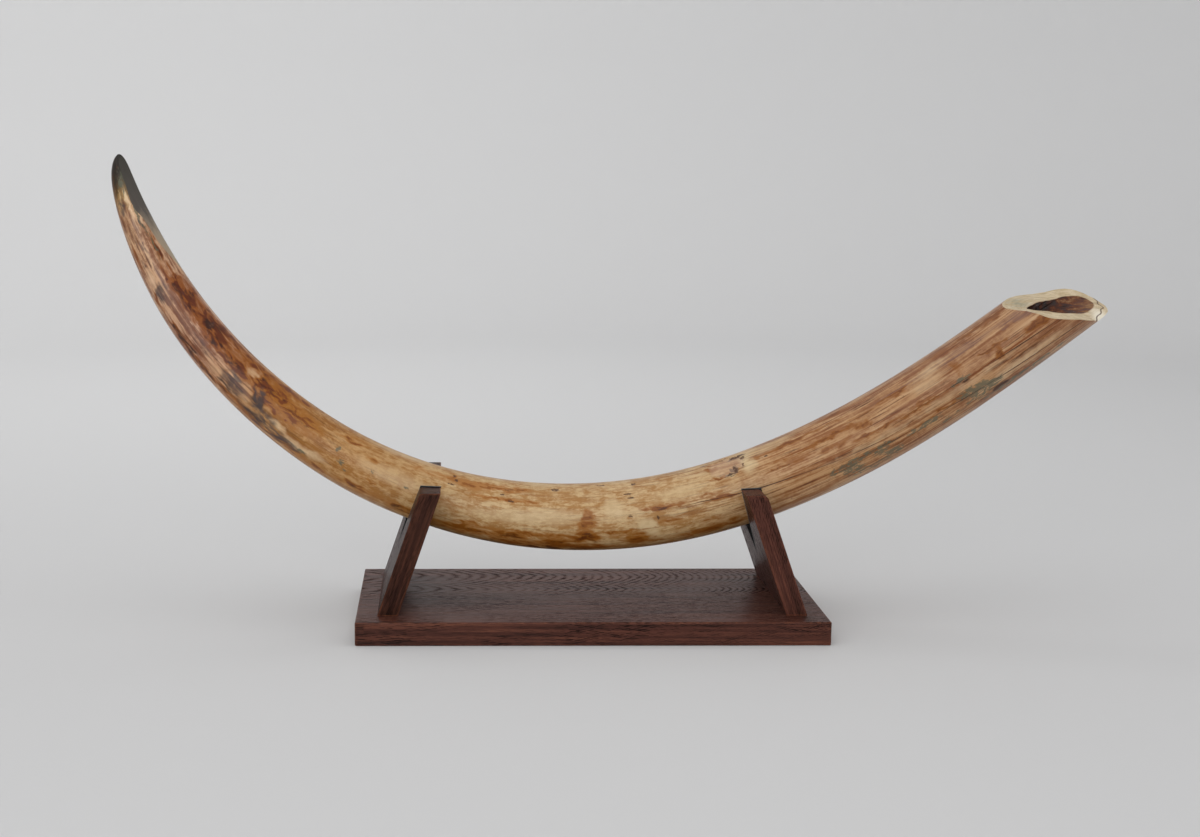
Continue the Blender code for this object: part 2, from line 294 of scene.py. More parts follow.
# The saw was led by hand, so the rim rises and falls by this much in mm at these angles.
RIM_WAVE = ((8, 0.1), (24, -0.5), (36, 0.3), (51, 1.5), (67, 0.7), (79, -1.1), (88, -1.1),
            (102, 0.1), (116, 1.1), (139, -0.4), (155, -4.2), (166, -1.5), (180, 1.2),
            (199, 0.2), (214, -1.1), (235, -1.1), (251, 0.3), (262, 1.4), (271, 1.6),
            (279, 0.5), (286, -1.6), (298, -2.2), (323, 0.6), (345, 1.8))
wave_angle, wave_rise = np.array(RIM_WAVE, float).T
angles = np.linspace(0.0, 2.0 * pi, SIDES + 1)
rim_wave = np.interp(np.degrees(angles), wave_angle, wave_rise, period=360.0)

# Where each line along the skin meets the cut: the first step above it, then a straight fit.
search = np.linspace(8.8, 10.0, 1201)
height = above_cut(skin(search[:, None], angles[None, :])[0]) - rim_wave
first = np.argmax(height > 0.0, axis=0)
columns = np.arange(SIDES + 1)
low, high = height[first - 1, columns], height[first, columns]
cut_t = search[first - 1] + (search[1] - search[0]) * low / (low - high)

# Rings stand square to the axis, closer at the tip. From SHEAR_FROM on they lean over more and
# more, so that the last one lies in the cut.
TIP_END, SHEAR_FROM = 0.55, 8.3
last_t = cut_t.max()
t_of_run = np.interp(np.linspace(np.interp(TIP_END, fine_t, fine_run),
                                 np.interp(last_t, fine_t, fine_run),
                                 OUTER_RINGS - TIP_RINGS + 1), fine_run, fine_t)
ring_t = np.concatenate((np.linspace(0.0, TIP_END, TIP_RINGS + 1)[:-1], t_of_run))
share = np.clip((ring_t - SHEAR_FROM) / (last_t - SHEAR_FROM), 0.0, 1.0)[:, None]
outer_t = ring_t[:, None] + share * (cut_t[None, :] - last_t)
outer_t = np.where(ring_t[:, None] < SHEAR_FROM, ring_t[:, None], outer_t)
outer_angle = np.broadcast_to(angles[None, :], outer_t.shape)
outer_run = np.interp(outer_t, fine_t, fine_run)
outer_radius = axis_at(outer_t)[..., 3]


def cloudy(places, size, octaves=3):
    """Smooth noise from about -1 to 1 at each place, with a given feature size in mm."""
    flat_places = places.reshape(-1, 3) / size
    values = [noise.fractal(Vector(p), 1.0, 2.0, octaves) for p in flat_places]
    return np.array(values).reshape(places.shape[:-1])


# The tusk as if it were straight, for patterns that follow it. Polishing has left its skin with
# low swells and long shallow flutes, which fade out towards the tip.
SWELL, SWELL_SIZE = 0.16, 22.0
FLUTE, FLUTE_SIZE = 0.10, 9.0
SMOOTH_TIP = 60.0
straight = np.stack((outer_run, outer_radius * np.cos(outer_angle),
                     outer_radius * np.sin(outer_angle)), axis=-1)
swell = SWELL * (1.0 + cloudy(straight * (0.35, 1.0, 1.0), SWELL_SIZE, 2))
flute = FLUTE * (1.0 + cloudy(straight * (0.05, 1.0, 1.0), FLUTE_SIZE, 2))
fade_tip = np.clip(outer_run / SMOOTH_TIP, 0.05, 1.0)
depth = np.clip((swell + flute) * fade_tip, 0.0, 1.0)
outer, tangent, out = skin(outer_t, outer_angle, depth)

# Small pits, as run, angle, half length and half width in degrees.
PITS = (
    (665, 25, 5, 4), (748, 42, 5, 1.3), (751, 50, 4, 1.3), (757, 20, 3, 4), (720, 14, 6, 2),
    (547, 26, 2, 3), (550, 36, 2, 4), (545, 47, 5, 1.5), (605, 47, 4, 2), (615, 58, 4, 2),
    (748, 81, 2, 2), (778, 89, 1.5, 4), (868, 47, 5, 2), (874, 39, 1.8, 8), (887, 20, 3, 3),
    (879, 12, 9, 2), (912, 37, 2, 2), (655, 340, 8, 3), (742, 310, 4, 2), (560, 325, 6, 2),
    (905, 300, 5, 3), (1010, 330, 3, 2), (480, 290, 5, 2), (820, 265, 4, 3),
)
turn = np.degrees(outer_angle)


def spots(table, sharpness):
    """The strongest of a table of soft-edged spots at each point of the skin, from 0 to 1."""
    most = np.zeros(outer_run.shape)
    for run, angle, half_length, half_width in table:
        apart = (turn - angle + 180.0) % 360.0 - 180.0
        near = ((outer_run - run) / half_length) ** 2 + (apart / half_width) ** 2
        most = np.maximum(most, np.exp(-near ** sharpness))
    return most


# A shallow ragged chip is lost from the top, with a dark line of painted shade along its edge to
# show the hollow.
PIT_DEPTH, CHIP_DEPTH = 0.45, 1.4
CHIP_RUN, CHIP_ANGLE = 866.0, 26.0
CHIP_HALF_LENGTH, CHIP_HALF_WIDTH = 22.0, 23.0
CHIP_LINE_FROM = 848.0
pit_mask = spots(PITS, 2.0)
ragged = cloudy(straight, 8.0, 3) * 0.5
chip_apart = ((outer_run - CHIP_RUN) / CHIP_HALF_LENGTH) ** 2 \
    + ((turn - CHIP_ANGLE) / CHIP_HALF_WIDTH) ** 2 + ragged
chip_mask = np.clip((1.0 - chip_apart) * 4.0, 0.0, 1.0)
# The line along the chip's edge is painted shade, standing in for the shading of the hollow.
chip_edge_shade = np.exp(-((chip_apart - 0.92) / 0.10) ** 2) \
    * np.clip((outer_run - CHIP_LINE_FROM) / 20.0, 0.0, 1.0)
outer -= ((PIT_DEPTH * pit_mask + CHIP_DEPTH * chip_mask)
          * (1.0 - 0.3 * ragged))[..., None] * out

# The flat worn on the inside of the bend at the tip. Its grey patch, a painted sheen over
# near-black worn ivory, ends at these runs and angles on the front, and at FACET_BACK on the back.
FACET_CENTRE = np.array((-474.7, 20.8, 440.2))
FACET_NORMAL = unit(np.array((0.748, -0.466, 0.473)))
FACET_REACH = 150.0
FACET_EDGE = ((0, 73), (31, 72), (55, 74), (66, 68), (74, 56), (87, 48), (108, 40),
              (124, 27), (137, 14), (150, -10))
FACET_BACK, FACET_FADE = -24.0, 5.0
over = (outer - FACET_CENTRE) @ FACET_NORMAL
facet = (over > 0.0) & (outer_run < FACET_REACH)
outer -= np.where(facet, over, 0.0)[..., None] * FACET_NORMAL
edge_run, edge_angle = np.array(FACET_EDGE, float).T
turned = (np.degrees(outer_angle) + 90.0) % 360.0 - 90.0
inside_edge = np.minimum(np.interp(outer_run, edge_run, edge_angle) - turned,
                         turned - FACET_BACK)
flat_mask = np.clip(0.5 + inside_edge / FACET_FADE, 0.0, 1.0) * (outer_run < FACET_REACH + 2.0)

# The sawn rim and the cavity: rings go in from the rim over the sawn face to the mouth of the
# cavity, and down its rough wall to its closed point.
CAVITY_CENTRE = np.array((508.5, 2.5, 350.8))
CAVITY_DIRECTION = unit(np.array((0.86, 0.255, 0.443)))
CAVITY_DEPTH = 80.0
WALL_ROUGHNESS = 0.06           # as a share of the way to the cavity's axis


def on_cut(x, y):
    """Points of the sawn face over a place in its plane."""
    rise = TWIST * x * y - CROWN * x * x
    return BUTT_CENTRE + (x[..., None] * butt_x + y[..., None] * butt_y
                          + rise[..., None] * butt_normal)


outer[-1] -= ((above_cut(outer[-1]) - rim_wave) / (tangent[-1] @ butt_normal))[:, None] \
    * tangent[-1]
rim_away = outer[-1] - BUTT_CENTRE
rim_x, rim_y = rim_away @ butt_x, rim_away @ butt_y


def smooth_round(values, times):
    """Values round a ring, evened out with their neighbours; the first is also the last."""
    ring = values[:-1]
    for _ in range(times):
        ring = (np.roll(ring, 1, axis=0) + 2.0 * ring + np.roll(ring, -1, axis=0)) / 4.0
    return np.concatenate((ring, ring[:1]))


# The mouth of the cavity in the plane of the cut, as angle and distance from its middle.
MOUTH_X, MOUTH_Y = -0.1, 3.2
MOUTH = ((10, 44.1), (19, 47.5), (32, 46.1), (42, 40.8), (49, 30.4), (76, 13.6), (120, 10.4),
         (170, 13.8), (196, 29.6), (210, 47.0), (222, 40.9), (236, 30.7), (262, 26.5),
         (297, 24.6), (329, 28.6), (352, 35.3))
mouth_turn, mouth_reach = np.array(MOUTH, float).T
rim_turn = np.degrees(np.arctan2(rim_y - MOUTH_Y, rim_x - MOUTH_X))
reach_in = np.interp(rim_turn, mouth_turn, mouth_reach, period=360.0)
mouth_x = smooth_round(MOUTH_X + reach_in * np.cos(np.radians(rim_turn)), 3)
mouth_y = smooth_round(MOUTH_Y + reach_in * np.sin(np.radians(rim_turn)), 3)
inward = np.linspace(0.0, 1.0, CUT_RINGS + 1)[1:, None]
face_rings = on_cut(rim_x + inward * (mouth_x - rim_x), rim_y + inward * (mouth_y - rim_y))
face_wave = (1.0 - inward) * rim_wave + inward * smooth_round(rim_wave, 60) * 0.6
face_rings += face_wave[..., None] * butt_normal
apex = CAVITY_CENTRE - CAVITY_DIRECTION * CAVITY_DEPTH
down = np.linspace(0.0, 1.0, CAVITY_RINGS + 1)[1:, None, None] ** 1.15
cavity_rings = face_rings[-1][None] + down * (apex - face_rings[-1])[None]
wall_noise = cloudy(cavity_rings, 12.0, 3)
axis_foot = CAVITY_CENTRE + ((cavity_rings - CAVITY_CENTRE) @ CAVITY_DIRECTION)[..., None] \
    * CAVITY_DIRECTION
rough = WALL_ROUGHNESS * (1.0 + wall_noise) * np.clip(down[..., 0] * 8.0, 0.0, 1.0)
cavity_rings += (axis_foot - cavity_rings) * rough[..., None]
cavity_rings[-1] = cavity_rings[-1].mean(axis=0)

# A flat grid is rolled up along these rings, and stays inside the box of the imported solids.
points = np.concatenate((outer, face_rings, cavity_rings)) * MM
points[:, -1] = points[:, 0]
points = np.clip(points, np.array(cad_box[0]), np.array(cad_box[1]))

bpy.ops.object.select_all(action="DESELECT")
bpy.ops.mesh.primitive_grid_add(x_subdivisions=SIDES, y_subdivisions=len(points) - 1, size=1.0)
tusk = bpy.context.object
tusk.name = "tusk_polished"
places = np.empty(len(tusk.data.vertices) * 3)
tusk.data.vertices.foreach_get("co", places)
grid = places.reshape(-1, 3)
col = np.rint((grid[:, 0] + 0.5) * SIDES).astype(int)
row = np.rint((grid[:, 1] + 0.5) * (len(points) - 1)).astype(int)
tusk.data.vertices.foreach_set("co", points[row, col].ravel())


def put_attribute(name, values, fill=0.0):
    """Store a value, or a vector, for each point of the outer skin; other points get the fill."""
    full = np.full((len(points),) + values.shape[1:], fill, float)
    full[:len(values)] = values
    per_point = full[row, col]
    kind = "FLOAT_VECTOR" if per_point.ndim == 2 else "FLOAT"
    layer = tusk.data.attributes.new(name, kind, "POINT")
    layer.data.foreach_set("vector" if kind == "FLOAT_VECTOR" else "value", per_point.ravel())


# Stains in the skin, with two painted highlights among the cream marks, as run, angle, half
# length, half width in degrees and strength.
STAINS = {
    "rust": (
        (165, 56, 18, 21, 1.0), (215, 52, 64, 27, 0.62), (228, 52, 16, 24, 1.0),
        (272, 66, 14, 12, 1.0), (148, 71, 20, 8, 0.85), (215, 24, 62, 11, 0.60),
        (226, 34, 24, 10, 0.8), (278, 34, 24, 14, 0.6), (118, 58, 36, 10, 0.62),
        (190, 69, 20, 8, 0.6), (290, 70, 22, 9, 0.7), (262, 76, 26, 6, 0.8),
        (303, 48, 7, 21, 0.95), (324, 54, 26, 27, 0.74), (362, 64, 28, 26, 0.75),
        (310, 75, 12, 20, 0.7), (335, 82, 24, 8, 0.6), (240, 136, 50, 9, 0.85),
        (200, 125, 15, 6, 0.4), (165, 135, 15, 8, 0.6), (110, 136, 20, 8, 0.5),
        (330, 135, 40, 12, 0.6), (390, 136, 40, 10, 0.7), (445, 128, 20, 10, 0.8),
        (500, 130, 14, 12, 0.9), (480, 122, 30, 8, 0.4), (330, 20, 40, 14, 0.75),
        (420, 42, 16, 5, 0.8), (430, 30, 20, 10, 0.4), (455, 57, 10, 6, 0.5),
        (460, 100, 8, 3, 0.7), (520, 35, 30, 8, 0.45), (575, 35, 28, 8, 0.85),
        (612, 32, 24, 8, 0.8), (545, 28, 12, 7, 0.45), (590, 57, 20, 4, 0.75),
        (616, 57, 14, 4, 0.8), (560, 43, 30, 6, 0.45), (636, 55, 10, 4, 0.6),
        (550, 83, 18, 3, 0.7), (545, 93, 25, 4, 0.35), (703, 74, 8, 10, 0.7),
        (700, 90, 12, 12, 0.9), (699, 114, 15, 12, 1.0), (704, 135, 12, 10, 0.4),
        (735, 106, 42, 2.5, 0.65), (752, 123, 16, 8, 0.7), (764, 133, 20, 6, 0.55),
        (785, 74, 22, 4.5, 1.0), (852, 80, 20, 4, 0.8), (857, 48, 15, 2.4, 0.9),
        (851, 27, 9, 6, 0.6), (840, 70, 30, 3, 0.45), (790, 97, 14, 3, 0.7),
        (590, 112, 60, 5, 0.55), (622, 122, 22, 9, 0.85), (655, 112, 26, 5, 0.45),
        (674, 116, 24, 8, 0.5), (580, 126, 30, 8, 0.75), (540, 132, 40, 12, 0.6),
        (672, 130, 25, 8, 0.9), (650, 140, 70, 10, 0.75), (740, 113, 25, 5, 0.25),
        (828, 112, 28, 5, 0.4), (842, 128, 30, 10, 0.6), (820, 137, 24, 8, 0.5),
        (700, 150, 150, 14, 0.28), (920, 33, 40, 4, 0.5), (975, 30, 36, 4, 0.5),
        (1000, 12, 30, 5, 0.5), (985, 70, 20, 5, 0.6), (930, 66, 30, 3, 0.6),
        (1030, 78, 30, 4, 0.7), (1080, 77, 22, 4, 0.55), (1140, 60, 5, 20, 0.5),
        (1186, 78, 5, 14, 0.85), (1240, 76, 20, 7, 0.8), (1210, 20, 30, 9, 0.6),
        (1150, 18, 50, 6, 0.45), (1050, 45, 60, 3, 0.4), (1100, 104, 60, 3, 0.45),
        (1220, 118, 50, 3, 0.35), (930, 135, 60, 12, 0.4), (1225, 100, 30, 4, 0.3),
        (960, 55, 60, 3, 0.5), (915, 66, 26, 2, 0.8), (940, 28, 20, 3, 0.7), (990, 52, 26, 2, 0.8),
        (1020, 62, 12, 6, 0.6), (1085, 82, 30, 2, 0.8), (1070, 40, 26, 2, 0.7),
        (1180, 66, 24, 2, 0.8),
    ),
    "umber": (
        (170, 70, 10, 8, 0.5), (175, 45, 7, 10, 0.5), (218, 50, 7, 13, 1.0), (158, 68, 10, 6, 0.7),
        (265, 68, 15, 5, 0.8), (305, 45, 6, 4, 0.7), (308, 75, 8, 10, 0.9), (313, 94, 10, 15, 0.8),
        (325, 126, 20, 9, 0.75), (357, 132, 26, 8, 0.40), (250, 136, 40, 6, 0.7),
        (225, 126, 16, 6, 0.7), (276, 122, 12, 6, 0.7), (190, 62, 9, 5, 0.5), (243, 60, 8, 6, 0.6),
        (300, 40, 3, 20, 0.6), (205, 132, 14, 7, 0.6), (502, 132, 12, 9, 0.7),
        (703, 125, 9, 8, 0.5), (622, 125, 14, 5, 0.5), (1166, 131, 26, 5, 0.8),
        (1142, 85, 10, 3, 0.6), (228, 72, 12, 5, 0.6), (205, 24, 14, 6, 0.35),
        (650, 152, 90, 9, 0.5), (785, 75, 8, 2, 0.5), (874, 36, 3, 9, 1.0), (882, 13, 10, 3, 0.8),
    ),
    # Most cream marks are bleached ivory. The one at run 88, angle 58 is a painted highlight line
    # along the edge of the worn flat, and the one at run 1104, angle 52 is a painted highlight.
    "cream_and_highlight": (
        (47, 88, 6, 7, 1.0), (62, 82, 16, 4, 0.9), (78, 90, 12, 5, 0.5), (88, 58, 32, 5, 0.7),
        (120, 51, 18, 6, 0.9), (250, 50, 5, 22, 0.5), (345, 105, 15, 8, 0.9),
        (376, 116, 22, 9, 0.8), (398, 112, 20, 8, 0.5), (290, 48, 9, 20, 0.7),
        (255, 108, 20, 8, 0.4), (170, 142, 34, 6, 0.5), (140, 118, 12, 12, 0.6),
        (45, 112, 8, 4, 0.6), (655, 80, 45, 14, 0.5), (766, 100, 9, 13, 0.7),
        (730, 65, 10, 22, 0.5), (889, 34, 9, 24, 0.8), (1104, 52, 26, 16, 0.45),
        (248, 30, 8, 10, 0.4), (480, 70, 50, 20, 0.35), (600, 88, 40, 10, 0.4),
        (806, 55, 40, 14, 0.35), (300, 108, 7, 8, 0.5), (1020, 92, 60, 6, 0.45),
        (1140, 91, 70, 6, 0.5), (1200, 114, 60, 10, 0.75), (768, 110, 13, 12, 0.6),
        (1120, 35, 30, 8, 0.5), (922, 18, 30, 14, 0.5), (480, 12, 42, 12, 0.5),
        (890, 8, 24, 10, 0.4),
    ),
    "lilac": (
        (92, 92, 25, 8, 0.7), (110, 91, 14, 6, 0.8), (135, 90, 30, 8, 0.6),
        (200, 96, 60, 13, 0.36), (230, 100, 22, 13, 0.32), (165, 110, 10, 16, 0.7),
        (288, 100, 20, 12, 0.6), (75, 104, 20, 6, 0.4), (1160, 42, 55, 9, 0.5),
        (1222, 46, 22, 9, 0.6), (1070, 36, 40, 6, 0.35), (1240, 58, 18, 6, 0.5),
        (330, 22, 40, 14, 0.4), (950, 120, 60, 12, 0.3),
    ),
    "green": (
        (985, 110, 18, 6, 0.8), (1002, 106, 16, 5, 0.7), (995, 122, 14, 8, 0.65),
        (1025, 112, 10, 8, 0.5), (1040, 125, 12, 10, 0.7), (1030, 106, 16, 4, 0.5),
        (1080, 112, 25, 5, 0.55), (1106, 126, 18, 6, 0.5), (1141, 105, 20, 8, 0.85),
        (1160, 114, 14, 8, 0.6), (1136, 80, 12, 4, 0.9), (1150, 120, 22, 10, 0.6),
        (1205, 137, 60, 4, 0.8), (385, 123, 10, 5, 0.8), (76, 67, 22, 5, 0.9),
        (112, 60, 18, 4, 0.7), (413, 72, 3, 5, 0.7), (424, 94, 6, 5, 0.6), (440, 83, 3, 4, 0.6),
        (458, 80, 3, 3, 0.8), (498, 82, 3, 3, 0.6), (430, 104, 4, 3, 0.6), (868, 48, 6, 3, 1.0),
        (30, 92, 20, 20, 0.5), (1010, 135, 30, 6, 0.5),
    ),
    "smoke": (
        (153, 102, 6, 22, 0.95), (160, 115, 8, 16, 0.75), (230, 103, 13, 18, 0.38),
        (274, 100, 10, 18, 1.0), (286, 110, 14, 12, 0.8), (308, 72, 6, 9, 0.9),
        (312, 98, 8, 15, 0.8), (345, 128, 50, 16, 0.8), (106, 90, 8, 7, 0.6),
        (278, 100, 18, 15, 1.0), (326, 108, 18, 13, 1.0), (55, 108, 9, 13, 0.9),
        (64, 120, 8, 10, 0.7), (86, 112, 8, 9, 0.6), (125, 118, 4, 9, 0.9), (101, 108, 12, 6, 0.5),
        (172, 52, 4, 14, 0.35), (219, 44, 3, 12, 0.6), (878, 12, 10, 3, 0.8), (757, 20, 5, 3, 0.6),
        (843, 9, 6, 3, 0.7), (86, 69, 12, 4, 0.8), (850, 43, 14, 1.5, 0.6),
    ),
}


# Stains do not end in ovals: each point is moved by a coarse and a fine noise before it is
# looked up. The moves round the tusk are in degrees where its radius is FULL_RADIUS.
COARSE, FINE, FULL_RADIUS = 11.0, 4.0, 35.0
STAIN_EDGE = 1.6                # how sharply a stain ends; 1 is a bell curve
stain_run = outer_run + 5.0 * cloudy(straight, COARSE) + 2.0 * cloudy(straight + 300.0, FINE, 2)
stain_turn = turn + (4.5 * cloudy(straight + 600.0, COARSE)
                     + 1.6 * cloudy(straight + 900.0, FINE, 2)) \
    * FULL_RADIUS / outer_radius.clip(12.0)


def stain(table):
    """How strongly a table of marks stains each point of the skin, from 0 to 1."""
    bare = np.ones(outer_run.shape)
    for run, angle, half_length, half_width, strength in table:
        apart = (stain_turn - angle + 180.0) % 360.0 - 180.0
        near = ((stain_run - run) / half_length) ** 2 + (apart / half_width) ** 2
        bare *= 1.0 - strength * np.exp(-near ** STAIN_EDGE)
    return 1.0 - bare


# The back carries the same kinds of marks as the front in other places.
chance = np.random.default_rng(11)
FRONT_FROM = 28                 # marks nearer the inside of the bend reach round by themselves


def with_back(table):
    """A table of marks, and after them the same marks moved to the back."""
    moved = []
    for run, angle, half_length, half_width, strength in table:
        if angle > FRONT_FROM:
            moved.append((run + chance.normal(0.0, 22.0), 345.0 - 0.93 * angle
                          + chance.normal(0.0, 7.0), half_length * chance.uniform(0.8, 1.4),
                          half_width * chance.uniform(0.8, 1.3),
                          strength * chance.uniform(0.6, 1.0)))
    return table + tuple(moved)


masks = {name: stain(with_back(table)) for name, table in STAINS.items()}
put_attribute("stains_warm", np.stack([masks[k] for k in ("rust", "umber", "cream_and_highlight")], -1))
put_attribute("stains_cold", np.stack([masks[k] for k in ("lilac", "green", "smoke")], -1))

# Three long drying cracks, as the distance in mm to each side of them.
CRACKS = (
    ((826, 78), (870, 82), (900, 85), (940, 88), (985, 93), (1022, 96)),
    ((1126, 81), (1150, 83), (1172, 85), (1212, 88), (1264, 92)),
    ((1110, 107), (1150, 111), (1200, 116), (1284, 122)),
)
CRACK_TAPER = 8.0               # each goes on for a few mm past its ends, closing up
crack_sides = []
for crack in CRACKS:
    crack_run, crack_angle = np.array(crack, float).T
    middle = np.interp(outer_run, crack_run, crack_angle)
    aside = outer_radius * np.radians(np.degrees(outer_angle) - middle)
    beyond = np.maximum(crack_run[0] - outer_run, outer_run - crack_run[-1]).clip(0.0)
    crack_sides.append(aside + np.where(aside < 0.0, -1.0, 1.0) * beyond / CRACK_TAPER)
put_attribute("cracks", np.stack(crack_sides, -1))
put_attribute("straight", straight * MM)

# On the sawn face: how far in from the rim, then dirt at its inner end, white at its outer end,
# which is chipped bare ivory with a painted highlight, and the distance in mm from a split that
# parts the outer layer from the rest. Places on it are in mm from the middle of the cut, towards
# its outer end and towards the back.
face_x = np.concatenate((rim_x[None], rim_x + inward * (mouth_x - rim_x)))
face_y = np.concatenate((rim_y[None], rim_y + inward * (mouth_y - rim_y)))
on_face = np.broadcast_to(np.concatenate((np.zeros((1, 1)), inward)), face_x.shape)
inner_end = np.exp(-(((face_x + 44.0) / 12.0) ** 2 + ((face_y + 2.0) / 14.0) ** 2))
# The white at the outer end is chipped bare ivory plus a painted highlight.
outer_end_and_highlight = np.exp(-(((face_x - 45.0) / 10.0) ** 2 + ((face_y + 12.0) / 15.0) ** 2))
from_split = face_x - np.interp(face_y, (-25.0, -6.0, 9.0, 21.0), (34.0, 45.0, 53.0, 51.0))
from_split = 0.8 * from_split + 0.9 * np.sin(face_y / 2.3)
skin_rings = np.zeros((len(outer) - 1, SIDES + 1))
put_attribute("inward", np.concatenate((skin_rings, on_face)), 1.0)
put_attribute("sawn_face", np.concatenate((
    np.stack((skin_rings,) * 3, -1), np.stack((inner_end, outer_end_and_highlight, from_split), -1))))
# The second part holds the pits and the painted shade line along the chip's edge.
put_attribute("wear_and_shade", np.stack([flat_mask, np.maximum(pit_mask, 0.8 * chip_edge_shade), chip_mask], -1))

# The outer skin, the sawn rim and the cavity are three finishes.
polygon_row = np.array([min(row[v] for v in p.vertices) for p in tusk.data.polygons])
rim_row = len(outer) - 1
zone = np.where(polygon_row < rim_row, 0, np.where(polygon_row < rim_row + CUT_RINGS, 1, 2))
tusk.data.polygons.foreach_set("material_index", zone)


# ---- Tusk: its finishes ----
# The skin is fossil ivory, sanded and polished. Minerals have stained it from cream to tan,
# amber and near black, in streaks along the tusk, and the polish gives it a low satin sheen.
ivory = bpy.data.materials.new("polished_stained_ivory")
ivory.use_nodes = True
way = add_node(ivory, "Attribute", attribute_name="straight").outputs["Vector"]
# Sizes in mm along and round the tusk. The fibres and pores of ivory are under 0.2 mm wide;
# "streaks", "hairs" and "specks" are bundles of them, drawn 1.7 to 2.8 mm wide to show.
texture = {name: marks(ivory, way, (length, width, width), detail, roughness, distortion)
           for name, length, width, detail, roughness, distortion in (
               ("clouds", 48, 17, 3.0, 0.55, 0.4), ("blotches", 14, 4.6, 6.0, 0.68, 0.5),
               ("pools", 17, 6.5, 4.0, 0.52, 0.8),
               ("mottle", 6, 2.4, 3.0, 0.6, 0.6), ("specks", 2.6, 1.7, 1.0, 0.5, 0.0),
               ("streaks", 85, 2.8, 2.0, 0.5, 0.0), ("hairs", 48, 1.7, 1.0, 0.5, 0.0),
               ("patches", 60, 10, 3.0, 0.6, 0.4), ("bands", 10, 60, 4.0, 0.6, 0.0))}
# The ground: a pale and a deep tone that change from the tip, 0, to the butt, 1.
TUSK_LENGTH = 1.34
run = add_node(ivory, "Math", (add_node(ivory, "SeparateXYZ", (way,)).outputs["X"],
                               1.0 / TUSK_LENGTH, -0.015), operation="MULTIPLY_ADD")
run = add_node(ivory, "Math", (texture["blotches"], 0.03, run), operation="MULTIPLY_ADD")
pale = add_node(ivory, "ValToRGB", (run,), stops=(
    (0.0, "2a2621"), (0.022, "382e22"), (0.034, "b8925a"), (0.05, "cba27c"), (0.17, "c79b7c"),
    (0.24, "ba8a56"), (0.34, "bf9662"), (0.44, "ceb082"), (0.62, "cbab7e"), (0.68, "bd9366"),
    (0.80, "b3875c"), (1.0, "ae835e")))
deep = add_node(ivory, "ValToRGB", (run,), stops=(
    (0.0, "1c1916"), (0.022, "231c14"), (0.034, "5e4422"), (0.05, "8c6042"), (0.17, "80503a"),
    (0.24, "905c22"), (0.34, "9e6a30"), (0.44, "aa7c46"), (0.62, "a77944"), (0.68, "986436"),
    (0.80, "8d5c38"), (1.0, "835436")))
# Streaks are strong at both ends and faint in the middle of the tusk, and come in patches.
streaky = add_node(ivory, "ValToRGB", (run,), stops=(
    (0.0, 0.1), (0.05, 0.7), (0.14, 0.9), (0.25, 0.5), (0.34, 0.25), (0.58, 0.25),
    (0.68, 0.9), (1.0, 1.0)))
ground = add_node(ivory, "Mix", {
    0: add_node(ivory, "MapRange", (streaky, 0.2, 1.0, 0.0, 0.8)).outputs[0],
    2: texture["blotches"], 3: texture["streaks"]})
wide = add_node(ivory, "Math", (texture["clouds"], 0.55, ground), operation="MULTIPLY_ADD")
wide = add_node(ivory, "Math", (texture["bands"], 0.30, wide), operation="MULTIPLY_ADD")
wide = add_node(ivory, "Math", (texture["mottle"], 0.35, wide), operation="MULTIPLY_ADD")
colour = add_node(ivory, "Mix", {
    0: add_node(ivory, "MapRange", (wide, 0.99, 1.21)).outputs[0], 6: pale, 7: deep},
    data_type="RGBA").outputs[2]

patchy = add_node(ivory, "MapRange", (texture["patches"], 0.42, 0.58, 0.12, 1.0))
patchy = add_node(ivory, "Math", (patchy, streaky), operation="MULTIPLY")
for shade, name, low, high, strength in (
        ("dcbb90", "streaks", 0.42, 0.32, 0.40), ("7d4218", "streaks", 0.55, 0.62, 0.85),
        ("4a2009", "hairs", 0.58, 0.66, 0.90), ("5a2f10", "specks", 0.66, 0.76, 0.60)):
    amount = add_node(ivory, "MapRange", (texture[name], low, high, 0.0, strength))
    amount = add_node(ivory, "Math", (amount, patchy), operation="MULTIPLY")
    colour = add_node(ivory, "Mix", {0: amount.outputs[0], 6: colour, 7: hex_colour(shade)},
                      data_type="RGBA").outputs[2]

# Each stain is broken up by a texture, by so much, and sets in from low to high. A heavy rust
# stain goes from amber through burnt brown to almost black.
stained = {}
for attribute, names in (("stains_warm", ("rust", "umber", "cream_and_highlight")),
                         ("stains_cold", ("lilac", "green", "smoke"))):
    source = add_node(ivory, "Attribute", attribute_name=attribute).outputs["Vector"]
    stained.update(zip(names, add_node(ivory, "SeparateXYZ", (source,)).outputs))
# Bleached ivory, also used for the two painted highlights among the cream marks.
bleached_and_highlight = add_node(ivory, "ValToRGB", (run,), stops=(
    (0.03, "e2c79c"), (0.07, "dcb899"), (0.22, "dab890"), (0.40, "dcc59c"), (0.66, "d8c095"),
    (0.85, "ceb08a")))
amber = add_node(ivory, "ValToRGB", (run,), stops=(
    (0.11, "8a4a12"), (0.17, "8a4a12"), (0.24, "96580f"), (0.29, "a46c2c"), (0.44, "aa7238"),
    (0.56, "965c1c"), (0.72, "8e5418"), (1.0, "864e18")))
burnt = add_node(ivory, "ValToRGB", (run,), stops=(
    (0.11, "582208"), (0.19, "5e2708"), (0.25, "6e330a"), (0.40, "8c5010"), (0.60, "824810"),
    (0.75, "6e3a10")))
